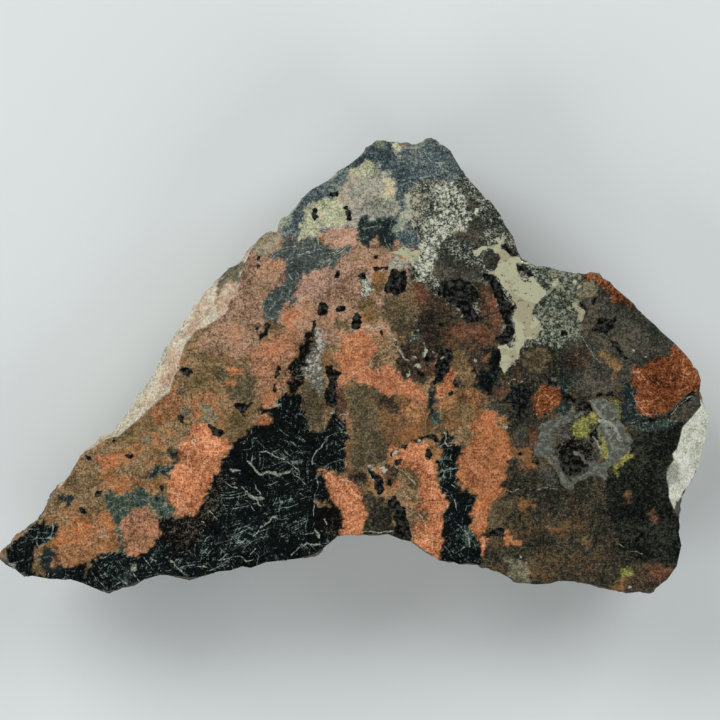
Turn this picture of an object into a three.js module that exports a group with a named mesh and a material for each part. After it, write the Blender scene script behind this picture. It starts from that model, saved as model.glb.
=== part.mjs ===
// A hand specimen of skarn: one stone, sawn flat and polished on top, broken all round and
// underneath. It lies on a flat joint plane with the sawn face up. Millimetres, +Z up, the origin
// under the middle of the stone at the height of the surface that it lies on.
import * as THREE from "three";
import { ImprovedNoise } from "three/addons/math/ImprovedNoise.js";

// Driving dimensions.
const sawnFaceWidth = 148.5; // from the left tip to the right shoulder of the sawn face
const thickness = 27; // from the surface that it lies on to the sawn face
const edgeStep = 2.3; // longest piece of the sawn face's edge between two vertices
const edgeWear = 0.35; // depth of the worn arris along the saw cut

// The reference picture is 720 pixels wide. These places in it set the scale and the middle.
const leftTip = 6;
const rightShoulder = 701.2;
const middle = { x: 400, y: 430 };
const scale = sawnFaceWidth / (rightShoulder - leftTip);

// The edge of the sawn face, clockwise from the left tip: x and y in picture pixels. The third
// value is how far, in millimetres, the broken side below reaches out past the edge, or draws in
// under it where it is negative.
const sawnEdge = [
  // Up the left side, where the pale broken side shows.
  [6, 556, 1.1], [6, 549, 0.3], [14, 540, -0.5], [34.4, 523.5, -1], [44.6, 512, -0.5],
  [50.4, 501, 0.3], [58, 490.4, 0.7], [69.5, 475, 0.5], [79.7, 457.2, 0.5], [84.8, 451.5, 0.4],
  [91.8, 448.3, 1.2], [105.9, 439.3, 3], [112.9, 437, 3.3], [118.5, 436.4, 3.4],
  [125.6, 430.4, 2.2], [140.3, 418.3, 3.2], [155.7, 403.4, 4.8], [170, 392.2, 6.2],
  [174.8, 377, 5.6], [180.4, 368.3, 5.4], [179.9, 363.5, 4.7], [185.2, 346, 3.5],
  [194.7, 331.6, 3.6], [205.9, 326.8, 4.9], [219.4, 318.9, 6.5], [227.5, 313.5, 7.1],
  [229, 306.9, 6.3], [231.4, 299.7, 5.5], [236.2, 296.5, 5.9], [241, 280.6, 4.2],
  [241.8, 275, 3.2], [245.7, 263, 1.5], [249.7, 251.9, 0.8], [259.3, 238.5, 0.3],
  [265.7, 233, 0.1], [270.3, 231.2, 0], [276.5, 232.5, 0], [284, 222, 0.4],
  // To the apex and across the top, with a shallow chip in it.
  [289.7, 216.9, -0.5], [301.2, 199.1, -1.5], [311.4, 189.5, -2.5], [328, 180.6, -4],
  [338.2, 171, -5], [348.4, 165.3, -5.5], [365, 151.9, -5], [367.6, 148.1, -4.5],
  [377.1, 141, -4], [384.1, 140.2, -3], [388, 141.7, -1.5], [398.2, 141.9, 0.3],
  [402, 147, 1.4], [407, 149.5, 2], [418.5, 149, 1.9], [423, 146, 1.3], [427, 142.5, 0.5],
  [431.3, 140, -0.5], [435, 140.4, -1.5], [439.5, 143.6, -2.5], [444.6, 146.1, -3.5],
  // Down to the notch, and out along the right shoulder.
  [450.4, 150.6, -5], [456.1, 160.8, -6], [465, 175.5, -6.5], [481.6, 193.3, -6],
  [484.8, 199.1, -5.5], [489.9, 200.4, -6], [500.1, 214.4, -5], [504.6, 224.6, -4],
  [512.9, 236.1, -3], [517.3, 250.1, -1.5], [523.1, 261.6, -1], [527.6, 262.2, -1.5],
  [537.1, 266.7, -2.5], [544.1, 266, -3], [556.9, 269.9, -3.5], [577.3, 273.7, -3],
  [591, 274.2, -3], [598.3, 275.7, -3.5], [610.4, 282.1, -5], [614.2, 287.2, -6],
  [634, 303.8, -7], [638.4, 310.8, -7], [655.7, 325.5, -6.5], [660.8, 331.2, -6],
  [674.8, 343.3, -4.5], [686.3, 355.4, -3], [691.4, 361.8, -2.5], [693.3, 366.3, -2],
  // Round the calcite vein on the right.
  [697.8, 370.1, -2], [700.9, 380.3, -1], [699, 395, 0.4], [701.2, 405.5, 0.9],
  [691.4, 417.3, 3.3], [681.8, 427.5, 5.3], [678.6, 441.5, 5.7], [676, 449.5, 5.8],
  [671.6, 454, 6.4], [673.5, 459.7, 5.8], [666.5, 468.7, 6.4], [665.9, 478.9, 5.3],
  [668.4, 489, 3.5], [668.4, 496.7, 3.1], [673.5, 508.2, 1.4], [677.3, 514.6, 0.4],
  [679.3, 522.2, -0.5],
  // Round the lower right corner and back along the hollow underside to the tip.
  [678.6, 532.4, -1.5], [681.4, 545.2, -2.5], [676.7, 566.2, -4], [667.1, 579.6, -5],
  [650.6, 591.8, -5.5], [639.1, 591.8, -5], [626.3, 593.4, -4.5], [613.6, 589.2, -3],
  [600.8, 586.2, -2], [577.9, 581.6, -1.5], [559.3, 580.7, -1.5], [550.4, 583.6, -2.5],
  [536.1, 584.5, -3.5], [514.6, 582.1, -4.5], [507.5, 576.8, -4], [498.6, 572.3, -3],
  [477.1, 564.3, -2], [468.2, 562.5, -2.5], [459.3, 564.3, -3], [452.1, 561.3, -3],
  [439.6, 560.7, -3.5], [425.4, 550, -2], [411.1, 541.1, -1], [401.3, 539.6, -1],
  [387.9, 533.9, -0.5], [373.6, 534.3, -0.5], [346.8, 534.8, -1], [337.9, 536.3, -2],
  [317.2, 553.1, -3], [299, 558.5, -3.5], [279.1, 560.9, -3.5], [265.8, 562.2, -4.5],
  [250.9, 568, -6], [242.6, 566.3, -6], [230.2, 570.5, -5.5], [219.4, 571.3, -5],
  [199.5, 576.6, -3], [189.5, 577.4, -2.5], [169.6, 575.1, -2], [159.7, 574.9, -2.5],
  [138.5, 581.2, -3.5], [131.4, 584.6, -4], [122.4, 587.9, -4.5], [107.8, 590.9, -4],
  [94.4, 588.3, -3], [82.9, 583.2, -2], [69.5, 579, -1.5], [49.7, 579, -1],
  [32.5, 575.8, -0.5], [24.2, 576.8, 0.4], [16, 570, 1.2], [9, 564, 1.3],
];

// Fracture planes that lift the underside off the surface. Each starts at a place in the picture,
// rises towards a heading (degrees, 0 to the right and 90 up the picture) and has a slope.
const undersideFractures = [
  { at: [225, 470], heading: 194, slope: 0.33 },
  { at: [215, 530], heading: 226, slope: 0.34 },
  { at: [262, 372], heading: 158, slope: 0.24 },
  { at: [325, 318], heading: 118, slope: 0.33 },
  { at: [420, 285], heading: 84, slope: 0.27 },
  { at: [520, 360], heading: 44, slope: 0.3 },
  { at: [598, 440], heading: 8, slope: 0.42 },
  { at: [560, 535], heading: -40, slope: 0.36 },
  { at: [395, 500], heading: -88, slope: 0.5 },
];

// Shallow shell-shaped scars on the underside: the middle in the picture, the radius and the depth
// in millimetres.
const undersideScars = [
  { at: [150, 520], radius: 13, depth: 1.8 },
  { at: [288, 320], radius: 15, depth: 2.2 },
  { at: [445, 225], radius: 12, depth: 2 },
  { at: [600, 350], radius: 14, depth: 2.4 },
  { at: [622, 520], radius: 12, depth: 1.9 },
  { at: [330, 500], radius: 10, depth: 1.5 },
];

// How far down the broken side each ring of vertices lies, as a share of its height.
const sideLevels = [0.06, 0.16, 0.27, 0.38, 0.49, 0.6, 0.7, 0.8, 0.9, 1];
// How far out from the middle each ring of the underside lies, as a share of its rim.
const undersideRings = [0.95, 0.88, 0.81, 0.73, 0.64, 0.54, 0.43, 0.31, 0.18];
const halvings = [0, 5, 7]; // the underside rings that have half as many vertices as the last one
const widestAt = 0.55; // the share of its height at which a bulging side reaches furthest
const rimRounding = 1.6; // how far the lower rim of the side stands up from the underside

// Roughness of the broken surfaces: the height and the size of the lumps and ledges.
const sideLumps = { height: 1.5, size: 14 };
const sideLedges = { height: 2.4, size: 15 };
const sideBumps = { height: 0.7, size: 6.5 };
const undersideLumps = { height: 1.2, size: 16 };
const undersideLedges = { height: 2.2, size: 19 };
const roughFrom = 0.25; // the share of the side's height at which its roughness is full
const showingRoughness = 0.6; // a side that shows keeps closer to its seen outline
const outlineSlack = 0.2; // how far lumps may stand past the outline that shows from above

const perlin = new ImprovedNoise();

// Smooth lumps, up to about their height each way.
function lumps(x, y, z, { height, size }) {
  return perlin.noise(x / size + 11.3, y / size + 4.7, z / size + 7.9) * 1.4 * height;
}

// Flat steps with short slopes between them, as a stone parts along ledges: two to their height.
function ledges(x, y, z, { height, size }) {
  const level = lumps(x, y, z, { height: 2, size });
  const step = Math.floor(level);
  return ((step + THREE.MathUtils.smoothstep(level - step, 0.3, 0.7)) / 2) * height;
}

// A place in the picture, in millimetres from the middle, with y up the picture.
function toStone([px, py]) {
  return new THREE.Vector2((px - middle.x) * scale, (middle.y - py) * scale);
}

// The sawn face's edge with its longest piece halved again and again, until every piece is short
// and the number of pieces can be halved at each of the underside's halvings.
function dividedEdge() {
  const edge = sawnEdge.map(([px, py, reach]) => ({ place: toStone([px, py]), reach }));
  const lengthAt = (i) => edge[i].place.distanceTo(edge[(i + 1) % edge.length].place);
  const wholeCount = 2 ** halvings.length;
  for (;;) {
    const lengths = edge.map((_, i) => lengthAt(i));
    const longest = lengths.indexOf(Math.max(...lengths));
    if (lengths[longest] <= edgeStep && edge.length % wholeCount === 0) return edge;
    const from = edge[longest];
    const to = edge[(longest + 1) % edge.length];
    edge.splice(longest + 1, 0, {
      place: from.place.clone().lerp(to.place, 0.5),
      reach: (from.reach + to.reach) / 2,
    });
  }
}

// Height of the underside: flat where it rests, lifted by each fracture plane past its start, and
// hollowed by the scars.
function undersideHeight(x, y) {
  const lifts = undersideFractures.map(({ at, heading, slope }) => {
    const start = toStone(at);
    const turn = THREE.MathUtils.degToRad(heading);
    return ((x - start.x) * Math.cos(turn) + (y - start.y) * Math.sin(turn)) * slope;
  });
  const hollows = undersideScars.map(({ at, radius, depth }) => {
    const share = toStone(at).distanceTo({ x, y }) / radius;
    return share < 1 ? depth * (1 - share ** 2) : 0;
  });
  const lift = Math.max(...lifts);
  const roughness = lumps(x, y, 0, undersideLumps) + ledges(x, y, thickness, undersideLedges);
  const raised = THREE.MathUtils.smoothstep(lift, -0.3, 3);
  return Math.max(0, lift + (roughness + Math.max(...hollows)) * raised);
}

// How far out the broken side stands at a share of its height, before roughness.
function sideReach(reach, share) {
  if (reach < 0) return reach * share ** 0.85;
  const rise = Math.sin((Math.PI / 2) * Math.min(1, share / widestAt));
  const drawIn = THREE.MathUtils.smoothstep(share, widestAt, 1);
  return reach * rise - (0.4 * reach + 1.2) * drawIn;
}

// One vertex of the broken side. It moves along the ray from the middle, so that rings never cross.
function sideVertex({ place, reach }, share) {
  const ray = place.clone().normalize();
  const foot = place.clone().addScaledVector(ray, sideReach(reach, 1));
  const rimHeight = undersideHeight(foot.x, foot.y) + rimRounding;
  const z = thickness - edgeWear - share * (thickness - edgeWear - rimHeight);
  const rough =
    lumps(place.x, place.y, z, sideLumps) +
    ledges(place.x, place.y, z * 1.5, sideLedges) +
    lumps(place.x, place.y, z, sideBumps);
  const easing = THREE.MathUtils.smoothstep(share, 0, roughFrom);
  const showing = reach > 0 ? showingRoughness : 1;
  const out = sideReach(reach, share) + rough * easing * showing;
  const at = place.clone().addScaledVector(ray, Math.min(out, Math.max(reach, 0) + outlineSlack));
  return new THREE.Vector3(at.x, at.y, z);
}

// A ring with every other vertex left out, and each one kept averaged with its old neighbours.
function halved(ring) {
  const neighbours = [-2, -1, 0, 1, 2];
  return ring
    .map((_, i) => {
      const sum = new THREE.Vector3();
      for (const offset of neighbours) sum.add(ring[(i + offset + ring.length) % ring.length]);
      return sum.divideScalar(neighbours.length);
    })
    .filter((_, i) => i % 2 === 0);
}

// One ring of the underside, at a share of the way out from the middle to the rim.
function undersideRing(rim, share) {
  return rim.map((vertex) => {
    const x = vertex.x * share;
    const y = vertex.y * share;
    return new THREE.Vector3(x, y, undersideHeight(x, y));
  });
}

// The faces between two rings. The lower ring has as many vertices as the upper one, or half.
function facesBetween(upper, lower) {
  const faces = [];
  const perVertex = upper.count / lower.count;
  for (let i = 0; i < lower.count; i += 1) {
    const next = (i + 1) % lower.count;
    const above = [0, 1, 2].map((k) => upper.start + ((perVertex * i + k) % upper.count));
    faces.push([above[0], above[1], lower.start + i]);
    faces.push([above[1], lower.start + next, lower.start + i]);
    if (perVertex === 2) faces.push([above[1], above[2], lower.start + next]);
  }
  return faces;
}

// The closed surface of the stone: the flat sawn face, rings down the side and rings across the
// underside, with a vertex in the middle of each flat.
function stoneGeometry() {
  const edge = dividedEdge();
  const top = edge.map(({ place }) => new THREE.Vector3(place.x, place.y, thickness));
  const side = sideLevels.map((share) => edge.map((point) => sideVertex(point, share)));
  let rim = side.at(-1);
  const underside = undersideRings.map((share, i) => {
    if (halvings.includes(i)) rim = halved(rim);
    return undersideRing(rim, share);
  });

  const vertices = [];
  const rings = [top, ...side, ...underside].map((ring) => {
    vertices.push(...ring);
    return { start: vertices.length - ring.length, count: ring.length };
  });
  const faces = rings.slice(1).flatMap((lower, i) => facesBetween(rings[i], lower));
  const topMiddle = vertices.push(new THREE.Vector3(0, 0, thickness)) - 1;
  const undersideMiddle = vertices.push(new THREE.Vector3(0, 0, 0)) - 1;
  for (let i = 0; i < top.length; i += 1) {
    faces.push([(i + 1) % top.length, i, topMiddle]);
  }
  const last = rings.at(-1);
  for (let i = 0; i < last.count; i += 1) {
    faces.push([last.start + i, last.start + ((i + 1) % last.count), undersideMiddle]);
  }

  const geometry = new THREE.BufferGeometry().setFromPoints(vertices);
  geometry.setIndex(faces.flat());
  geometry.computeVertexNormals();
  return geometry;
}

// The stone, moved so that the origin is under its middle.
function stone() {
  const geometry = stoneGeometry();
  geometry.computeBoundingBox();
  const centre = geometry.boundingBox.getCenter(new THREE.Vector3());
  geometry.translate(-centre.x, -centre.y, -geometry.boundingBox.min.z);
  const rock = new THREE.MeshStandardMaterial({
    color: 0x5d4a3c,
    roughness: 0.45,
    metalness: 0,
  });
  const mesh = new THREE.Mesh(geometry, rock);
  mesh.name = "skarn_stone";
  return mesh;
}

const skarn = new THREE.Group();
skarn.add(stone());

export default skarn;
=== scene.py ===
import math
import re
from functools import partial
import bpy
import numpy as np
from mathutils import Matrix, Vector, noise


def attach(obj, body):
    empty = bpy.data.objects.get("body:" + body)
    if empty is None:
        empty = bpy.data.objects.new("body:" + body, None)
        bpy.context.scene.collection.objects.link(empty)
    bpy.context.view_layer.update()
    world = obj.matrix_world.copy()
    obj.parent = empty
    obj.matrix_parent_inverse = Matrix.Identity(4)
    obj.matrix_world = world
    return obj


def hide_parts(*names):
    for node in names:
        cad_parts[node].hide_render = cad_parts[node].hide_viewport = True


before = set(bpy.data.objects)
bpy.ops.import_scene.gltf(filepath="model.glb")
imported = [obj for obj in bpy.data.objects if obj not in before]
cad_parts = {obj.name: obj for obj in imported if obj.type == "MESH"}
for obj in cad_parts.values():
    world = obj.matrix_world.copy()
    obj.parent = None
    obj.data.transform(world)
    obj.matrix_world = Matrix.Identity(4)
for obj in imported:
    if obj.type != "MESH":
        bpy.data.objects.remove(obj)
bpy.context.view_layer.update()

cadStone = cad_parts["skarn_stone"]
mm = 0.001

# Places on the sawn face are written as in the picture, which is 720 pixels wide and high.
picture = {
    "size": 720,
    "leftTip": 6,            # x of the sawn face's left end
    "rightShoulder": 701.2,  # x of its right end
    "apex": 140,             # y of its highest place
}

# The broken surfaces, the rim and how finely the stone is meshed.
skarnStone = {
    "sideCuts": 2,           # cuts in each edge of the CAD side
    "cellSize": 0.39 * mm,   # cell of the sawn face, which carries the edges of the minerals
    "rimGap": 0.15 * mm,     # least gap between the cells and the rim
    "lumpSize": 5 * mm,
    "lumpHeight": 2.2 * mm,
    "chipSize": 1.7 * mm,
    "chipHeight": 0.9 * mm,
    "restingBand": 1.2 * mm,  # the broken surface is smooth this far up from where it rests
    "rimBand": 1.5 * mm,     # and this far down from the saw cut
    "sharpAngle": 38,        # edges of the broken surface sharper than this stay crisp
}
hair = 0.001 * mm            # places nearer than this count as the same


def placesOf(items, field):
    places = np.empty(len(items) * 3)
    items.foreach_get(field, places)
    return places.reshape(-1, 3)


def vertexPlaces(mesh):
    return placesOf(mesh.vertices, "co")


def faceMiddles(mesh):
    return placesOf(mesh.polygons, "center")


def smoothStep(low, high, values):
    share = np.clip((values - low) / (high - low), 0, 1)
    return share * share * (3 - 2 * share)


# Distance from each point to the edge of a closed outline, positive inside it.
def depthInside(points, outline):
    nearest = np.full(len(points), np.inf)
    inside = np.zeros(len(points), bool)
    for start, end in zip(outline, np.roll(outline, -1, axis=0)):
        along = end - start
        fromStart = points - start
        share = np.clip(fromStart @ along / max(along @ along, 1e-12), 0, 1)
        nearest = np.minimum(nearest, ((fromStart - share[:, None] * along) ** 2).sum(1))
        crosses = (start[1] > points[:, 1]) != (end[1] > points[:, 1])
        if along[1]:
            inside ^= crosses & (points[:, 0] < start[0] + along[0] / along[1] * fromStart[:, 1])
    return np.where(inside, 1, -1) * np.sqrt(nearest)


cadPlaces = vertexPlaces(cadStone.data)
sawnHeight = cadPlaces[:, 2].max()
sawnCorners = cadPlaces[cadPlaces[:, 2] > sawnHeight - hair]
pixel = np.ptp(sawnCorners[:, 0]) / (picture["rightShoulder"] - picture["leftTip"])
pictureLeft = sawnCorners[:, 0].min() - picture["leftTip"] * pixel
pictureTop = sawnCorners[:, 1].max() + picture["apex"] * pixel


def toPicture(places):
    return np.column_stack((places[:, 0] - pictureLeft, pictureTop - places[:, 1])) / pixel


def selectFaces(piece, chosen):
    bpy.ops.object.mode_set(mode="EDIT")
    bpy.ops.mesh.select_mode(type="FACE")
    bpy.ops.mesh.select_all(action="DESELECT")
    bpy.ops.object.mode_set(mode="OBJECT")
    piece.data.polygons.foreach_set("select", chosen)
    bpy.ops.object.mode_set(mode="EDIT")


def makeActive(piece):
    bpy.ops.object.select_all(action="DESELECT")
    piece.select_set(True)
    bpy.context.view_layer.objects.active = piece


# The outline of the hole in a mesh, as places in order.
def holeOutline(mesh):
    edgeUses = np.empty(len(mesh.loops), int)
    mesh.loops.foreach_get("edge_index", edgeUses)
    uses = np.bincount(edgeUses, minlength=len(mesh.edges))
    neighbours = {}
    for edge in mesh.edges:
        if uses[edge.index] == 1:
            for here, there in (edge.vertices, reversed(edge.vertices)):
                neighbours.setdefault(here, []).append(there)
    ring = [next(iter(neighbours))]
    while len(ring) < len(neighbours):
        onward = [there for there in neighbours[ring[-1]] if there not in ring[-2:]]
        ring.append(onward[0])
    return np.array([mesh.vertices[i].co[:2] for i in ring])


def addGroup(piece, name, weights):
    group = piece.vertex_groups.new(name=name)
    for index in np.flatnonzero(weights > 0.001):
        group.add([int(index)], float(weights[index]), "REPLACE")
    return group.name


def displace(piece, name, kind, size, height, group):
    texture = bpy.data.textures.new(name, kind)
    texture.noise_scale = size
    modifier = piece.modifiers.new(name, "DISPLACE")
    modifier.texture = texture
    modifier.texture_coords = "LOCAL"
    modifier.strength = height
    modifier.mid_level = 0.5
    modifier.vertex_group = group
    bpy.ops.object.modifier_apply(modifier=name)


# The stone's broken sides and underside, from a copy of the CAD solid with its sawn face open.
def brokenShell():
    shell = bpy.data.objects.new("skarnStone", cadStone.data.copy())
    bpy.context.scene.collection.objects.link(shell)
    makeActive(shell)
    bpy.ops.object.mode_set(mode="EDIT")
    bpy.ops.mesh.select_all(action="SELECT")
    bpy.ops.mesh.remove_doubles(threshold=hair)
    bpy.ops.object.mode_set(mode="OBJECT")
    selectFaces(shell, faceMiddles(shell.data)[:, 2] > sawnHeight - hair)
    bpy.ops.mesh.delete(type="FACE")
    bpy.ops.mesh.select_all(action="SELECT")
    bpy.ops.mesh.subdivide(number_cuts=skarnStone["sideCuts"])
    bpy.ops.object.mode_set(mode="OBJECT")

    height = vertexPlaces(shell.data)[:, 2]
    weights = smoothStep(0.05 * mm, skarnStone["restingBand"], height)
    weights *= smoothStep(0, skarnStone["rimBand"], sawnHeight - height)
    group = addGroup(shell, "broken", weights)
    displace(shell, "lumps", "CLOUDS", skarnStone["lumpSize"], skarnStone["lumpHeight"], group)
    displace(shell, "chips", "CLOUDS", skarnStone["chipSize"], skarnStone["chipHeight"], group)
    return shell


# The sawn face: a fine flat grid, cut back to just inside the rim.
def sawnGrid(rim):
    low, high = rim.min(axis=0), rim.max(axis=0)
    middle, width = (low + high) / 2, high - low
    cells = np.ceil(width / skarnStone["cellSize"]).astype(int)
    bpy.ops.object.select_all(action="DESELECT")
    bpy.ops.mesh.primitive_grid_add(x_subdivisions=int(cells[0]), y_subdivisions=int(cells[1]),
                                    size=1, location=(*middle, sawnHeight))
    grid = bpy.context.active_object
    grid.scale = (*(cells * skarnStone["cellSize"]), 1)
    bpy.ops.object.transform_apply(location=True, rotation=True, scale=True)

    depth = depthInside(vertexPlaces(grid.data)[:, :2], rim)
    corners = np.empty(len(grid.data.loops), int)
    grid.data.loops.foreach_get("vertex_index", corners)
    outside = (depth[corners].reshape(-1, 4) < skarnStone["rimGap"]).any(axis=1)
    selectFaces(grid, outside)
    bpy.ops.mesh.delete(type="FACE")
    bpy.ops.object.mode_set(mode="OBJECT")
    return grid


def closeRim(stone):
    bpy.ops.object.mode_set(mode="EDIT")
    bpy.ops.mesh.select_mode(type="EDGE")
    bpy.ops.mesh.select_all(action="DESELECT")
    bpy.ops.mesh.select_non_manifold()
    bpy.ops.mesh.fill(use_beauty=True)
    bpy.ops.mesh.select_all(action="SELECT")
    bpy.ops.mesh.normals_make_consistent(inside=False)
    bpy.ops.object.mode_set(mode="OBJECT")


def makeStone():
    stone = brokenShell()
    rim = holeOutline(stone.data)
    grid = sawnGrid(rim)
    makeActive(stone)
    grid.select_set(True)
    bpy.ops.object.join()
    closeRim(stone)
    bpy.ops.object.shade_smooth_by_angle(angle=math.radians(skarnStone["sharpAngle"]))
    triangles = sum(len(face.vertices) - 2 for face in stone.data.polygons)
    print(f"skarn stone: {triangles} triangles")
    return stone


# The minerals as they show on the sawn face: the colour over most of a grain, its palest and its
# deepest places, how felted it is with needles, how thickly pale grains are scattered in it, and how
# much it is stained with rust and grown through with olive grains.
minerals = {
    "tan": ("#816A4C", "#AC9070", "#4C3D2B", 0.12, 0.03, 0.6),
    "orangeTan": ("#9A704C", "#C89A72", "#5C3C28", 0.45, 0.02, 0.6),
    "orange": ("#BF7C55", "#E8BA92", "#683A24", 0.6, 0.02, 0.25),
    "dullOrange": ("#B87954", "#DEB08C", "#7A4930", 0.65, 0.02, 0.35),
    "deepOrange": ("#A86E48", "#D09A72", "#643823", 0.6, 0.02, 0.35),
    "pinkOrange": ("#A27356", "#C69A7C", "#553C2E", 0.4, 0.02, 0.35),
    "redBrown": ("#88502E", "#D6A484", "#2E160B", 0.8, 0.01, 0.2),
    "salmon": ("#A98672", "#C8AA94", "#6E584A", 0.3, 0.03, 0.2),
    "rustBrown": ("#584033", "#86664E", "#30231C", 0.4, 0.03, 0.4),
    "pinkTan": ("#9A7A63", "#BCA188", "#5E4636", 0.2, 0.03, 0.4),
    "olive": ("#544A36", "#7C7056", "#332C20", 0.1, 0.02, 0.25),
    "oliveTan": ("#776244", "#99825C", "#4C3D29", 0.15, 0.03, 0.6),
    "epidote": ("#AAAC8E", "#D0D2B6", "#6C7052", 0.2, 0.08, 0.3),
    "yellowGreen": ("#6A6D36", "#A5A866", "#3C3F20", 0.2, 0.1, 0.3),
    "mauve": ("#989789", "#B6B5A7", "#605D54", 0.2, 0.03, 0.25),
    # Dark blue-grey amphibole at the apex, paled and blued by a painted reflection of the sky.
    "blueGrey": ("#475355", "#82908C", "#20282C", 0.35, 0.1, 0.15),
    "amphibole": ("#0E1413", "#86998F", "#010202", 1, 0.02, 0),
    "darkGreen": ("#27302E", "#7F948B", "#0E1413", 0.85, 0.03, 0.1),
    "greenGrey": ("#43534A", "#94A898", "#182019", 0.8, 0.1, 0.4),
    "paleGreen": ("#86917F", "#B6BDA8", "#575E50", 0.4, 0.1, 0.2),
    "brownBlack": ("#0E0B0A", "#5E5A4C", "#020201", 0.5, 0, 0),
    "blueBlack": ("#0B0E0E", "#3C4441", "#020303", 0.5, 0.03, 0),
    "speckledGrey": ("#43463F", "#A6AA98", "#141613", 0.1, 0.3, 0.25),
    "speckledPale": ("#5C5E55", "#C0C4B0", "#20211D", 0.1, 0.55, 0.1),
    "speckledGreen": ("#3E4339", "#8A917E", "#1C1F19", 0.15, 0.5, 0.25),
    "darkGrey": ("#3A3A32", "#625F54", "#1D1D1A", 0.2, 0.1, 0.2),
    "mottled": ("#32322A", "#68583F", "#13130E", 0.2, 0.1, 0.3),
    "darkOlive": ("#161914", "#3A3D34", "#050605", 0.15, 0.06, 0.15),
    "brown": ("#3C342A", "#6C5844", "#191511", 0.25, 0.1, 0.5),
    "greyOlive": ("#6A6652", "#938F76", "#3A382C", 0.2, 0.12, 0.3),
    "silverGrey": ("#66645A", "#B6B5A6", "#2A2924", 0.7, 0.45, 0.1),
    "greyGreen": ("#515955", "#A2AAA0", "#1E2422", 0.9, 0.1, 0.1),
    "paleTan": ("#918670", "#ADA28C", "#625B4C", 0.2, 0.03, 0.1),
    "brownTan": ("#715539", "#977450", "#463322", 0.3, 0.03, 0.5),
    "pinkCream": ("#CBB298", "#EADCCA", "#A07E66", 0.6, 0.05, 0),
    "creamRock": ("#D2CAB3", "#F4EEDE", "#94886F", 0.5, 0.1, 0.15),
    "calcite": ("#E2E4D0", "#F8F8F0", "#AEB19A", 0, 0.1, 0),
    "greyCalcite": ("#A6A99B", "#C6C7BA", "#74786C", 0, 0.1, 0.1),
}
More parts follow.
